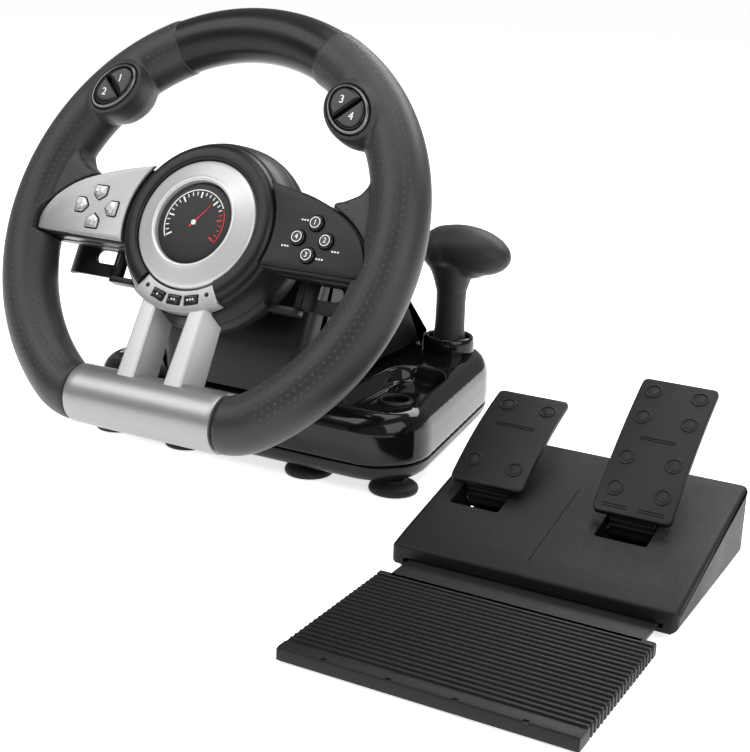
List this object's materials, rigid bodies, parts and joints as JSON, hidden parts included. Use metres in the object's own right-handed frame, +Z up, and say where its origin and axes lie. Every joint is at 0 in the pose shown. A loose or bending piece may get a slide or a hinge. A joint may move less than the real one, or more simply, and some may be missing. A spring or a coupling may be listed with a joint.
{
  "type": "racing wheel with pedal unit",
  "caption": "Game steering wheel with thumb keys, shift paddles and gear lever on a suction-cup base, with a separate brake and throttle pedal unit and a sliding ribbed footrest.",
  "frame": {"origin": "middle of the underside of the whole set, on the surface that it stands on", "axes": "+X to the driver's right, from the wheel to the pedals; +Y away from the driver; +Z up"},
  "size_m": [0.4414, 0.3826, 0.2704],
  "materials": {
    "leather_grip": "fine grained black cover with rows of small perforations",
    "matte_black": "satin black",
    "gloss_black": "polished black",
    "silver_paint": "satin silver paint",
    "key_black": "smooth black keys",
    "steel": "machined",
    "rubber": "soft black rubber",
    "circuit_board": "green board",
    "pedal_black": "fine textured black"
  },
  "bodies": {
    "base": {"base_top_shell": "gloss_black", "base_bottom_cover": "matte_black", "column_shell": "matte_black", "front_bearing": "steel", "rear_bearing": "steel", "steering_sensor": "gloss_black", "lever_collar": "gloss_black", "rear_socket": "matte_black", "suction_cup_front_left": "rubber", "suction_cup_front_right": "rubber", "suction_cup_inner_left": "rubber", "suction_cup_inner_right": "rubber", "suction_cup_rear_left": "rubber", "suction_cup_rear_right": "rubber"},
    "steering_wheel": {"hub_front_shell": "matte_black", "hub_rear_shell": "matte_black", "grip_left": "leather_grip", "grip_right": "leather_grip", "rim_top": "matte_black", "lower_spoke_bar": "silver_paint", "hub_ring": "silver_paint", "centre_cap": "matte_black", "panel_left": "silver_paint", "panel_right": "matte_black", "button_board": "circuit_board", "steering_shaft": "steel", "thumb_bezel_left": "silver_paint", "thumb_bezel_right": "silver_paint"},
    "sensor_gear": {"sensor_gear": "matte_black"},
    "gear_lever": {"gear_lever": "rubber", "lever_knob": "rubber"},
    "pedal_unit": {"pedal_box_top": "pedal_black", "pedal_box_bottom": "pedal_black", "pedal_axle": "steel", "brake_spring": "steel", "throttle_spring": "steel", "pedal_foot_front_left": "rubber", "pedal_foot_rear_left": "rubber", "pedal_foot_front_right": "rubber", "pedal_foot_rear_right": "rubber"},
    "brake_pedal": {"brake_pedal": "pedal_black"},
    "throttle_pedal": {"throttle_pedal": "pedal_black"},
    "footrest": {"footrest": "pedal_black"},
    "paddle_left": {"paddle_left": "matte_black"},
    "paddle_right": {"paddle_right": "matte_black"},
    "dpad_up": {"dpad_up": "silver_paint"},
    "dpad_down": {"dpad_down": "silver_paint"},
    "dpad_left": {"dpad_left": "silver_paint"},
    "dpad_right": {"dpad_right": "silver_paint"},
    "face_button_top": {"face_button_top": "key_black"},
    "face_button_bottom": {"face_button_bottom": "key_black"},
    "face_button_left": {"face_button_left": "key_black"},
    "face_button_right": {"face_button_right": "key_black"},
    "menu_button_left": {"menu_button_left": "key_black"},
    "menu_button_centre": {"menu_button_centre": "key_black"},
    "menu_button_right": {"menu_button_right": "key_black"},
    "thumb_button_left_upper": {"thumb_button_left_upper": "key_black"},
    "thumb_button_left_lower": {"thumb_button_left_lower": "key_black"},
    "thumb_button_right_upper": {"thumb_button_right_upper": "key_black"},
    "thumb_button_right_lower": {"thumb_button_right_lower": "key_black"}
  },
  "joints": [
    {"name": "steering_turn", "type": "hinge", "parent": "base", "child": "steering_wheel", "pos_m": [-0.08426, -0.0243, 0.15], "axis": [0, -0.8746, 0.4848], "range_deg": [-90, 90], "stiffness_Nm_per_rad": 0.8},
    {"name": "sensor_turn", "type": "hinge", "parent": "base", "child": "sensor_gear", "pos_m": [-0.04976, 0.06928, 0.09813], "axis": [0, -0.8746, 0.4848], "range_deg": [-220, 220]},
    {"name": "gear_shift", "type": "hinge", "parent": "base", "child": "gear_lever", "pos_m": [-0.01476, 0.1577, 0.052], "axis": [1, 0, 0], "range_deg": [-12, 12], "stiffness_Nm_per_rad": 3},
    {"name": "pedal_unit_place", "type": "slide", "parent": "base", "child": "pedal_unit", "axis": [0, -1, 0], "range_m": [0, 0.15]},
    {"name": "brake_press", "type": "hinge", "parent": "pedal_unit", "child": "brake_pedal", "pos_m": [0.09474, -0.0103, 0.022], "axis": [-1, 0, 0], "range_deg": [0, 15], "stiffness_Nm_per_rad": 8, "springref_deg": -2.86, "deforming": ["brake_spring"]},
    {"name": "throttle_press", "type": "hinge", "parent": "pedal_unit", "child": "throttle_pedal", "pos_m": [0.17574, -0.0103, 0.022], "axis": [-1, 0, 0], "range_deg": [0, 15], "stiffness_Nm_per_rad": 8, "springref_deg": -2.86, "deforming": ["throttle_spring"]},
    {"name": "footrest_slide", "type": "slide", "parent": "pedal_unit", "child": "footrest", "axis": [0, 1, 0], "range_m": [0, 0.017]},
    {"name": "paddle_left_pull", "type": "hinge", "parent": "steering_wheel", "child": "paddle_left", "pos_m": [-0.14626, -0.00943, 0.14176], "axis": [0, 0.4848, 0.8746], "range_deg": [0, 7], "stiffness_Nm_per_rad": 1, "springref_deg": -1.15},
    {"name": "paddle_right_pull", "type": "hinge", "parent": "steering_wheel", "child": "paddle_right", "pos_m": [-0.02226, -0.00943, 0.14176], "axis": [0, -0.4848, -0.8746], "range_deg": [0, 7], "stiffness_Nm_per_rad": 1, "springref_deg": -1.15},
    {"name": "dpad_up_press", "type": "slide", "parent": "steering_wheel", "child": "dpad_up", "axis": [0, 0.8746, -0.4848], "range_m": [0, 0.001], "stiffness_N_per_m": 800, "springref_m": -0.0003},
    {"name": "dpad_down_press", "type": "slide", "parent": "steering_wheel", "child": "dpad_down", "axis": [0, 0.8746, -0.4848], "range_m": [0, 0.001], "stiffness_N_per_m": 800, "springref_m": -0.0003},
    {"name": "dpad_left_press", "type": "slide", "parent": "steering_wheel", "child": "dpad_left", "axis": [0, 0.8746, -0.4848], "range_m": [0, 0.001], "stiffness_N_per_m": 800, "springref_m": -0.0003},
    {"name": "dpad_right_press", "type": "slide", "parent": "steering_wheel", "child": "dpad_right", "axis": [0, 0.8746, -0.4848], "range_m": [0, 0.001], "stiffness_N_per_m": 800, "springref_m": -0.0003},
    {"name": "face_button_top_press", "type": "slide", "parent": "steering_wheel", "child": "face_button_top", "axis": [0, 0.8746, -0.4848], "range_m": [0, 0.001], "stiffness_N_per_m": 800, "springref_m": -0.0003},
    {"name": "face_button_bottom_press", "type": "slide", "parent": "steering_wheel", "child": "face_button_bottom", "axis": [0, 0.8746, -0.4848], "range_m": [0, 0.001], "stiffness_N_per_m": 800, "springref_m": -0.0003},
    {"name": "face_button_left_press", "type": "slide", "parent": "steering_wheel", "child": "face_button_left", "axis": [0, 0.8746, -0.4848], "range_m": [0, 0.001], "stiffness_N_per_m": 800, "springref_m": -0.0003},
    {"name": "face_button_right_press", "type": "slide", "parent": "steering_wheel", "child": "face_button_right", "axis": [0, 0.8746, -0.4848], "range_m": [0, 0.001], "stiffness_N_per_m": 800, "springref_m": -0.0003},
    {"name": "menu_button_left_press", "type": "slide", "parent": "steering_wheel", "child": "menu_button_left", "axis": [0, 0.8746, -0.4848], "range_m": [0, 0.001], "stiffness_N_per_m": 800, "springref_m": -0.0003},
    {"name": "menu_button_centre_press", "type": "slide", "parent": "steering_wheel", "child": "menu_button_centre", "axis": [0, 0.8746, -0.4848], "range_m": [0, 0.001], "stiffness_N_per_m": 800, "springref_m": -0.0003},
    {"name": "menu_button_right_press", "type": "slide", "parent": "steering_wheel", "child": "menu_button_right", "axis": [0, 0.8746, -0.4848], "range_m": [0, 0.001], "stiffness_N_per_m": 800, "springref_m": -0.0003},
    {"name": "thumb_button_left_upper_press", "type": "slide", "parent": "steering_wheel", "child": "thumb_button_left_upper", "axis": [0, 0.8746, -0.4848], "range_m": [0, 0.001], "stiffness_N_per_m": 800, "springref_m": -0.0003},
    {"name": "thumb_button_left_lower_press", "type": "slide", "parent": "steering_wheel", "child": "thumb_button_left_lower", "axis": [0, 0.8746, -0.4848], "range_m": [0, 0.001], "stiffness_N_per_m": 800, "springref_m": -0.0003},
    {"name": "thumb_button_right_upper_press", "type": "slide", "parent": "steering_wheel", "child": "thumb_button_right_upper", "axis": [0, 0.8746, -0.4848], "range_m": [0, 0.001], "stiffness_N_per_m": 800, "springref_m": -0.0003},
    {"name": "thumb_button_right_lower_press", "type": "slide", "parent": "steering_wheel", "child": "thumb_button_right_lower", "axis": [0, 0.8746, -0.4848], "range_m": [0, 0.001], "stiffness_N_per_m": 800, "springref_m": -0.0003}
  ],
  "couplings": [
    {"joint": "sensor_turn", "follows": "steering_turn", "ratio": -2.4}
  ]
}
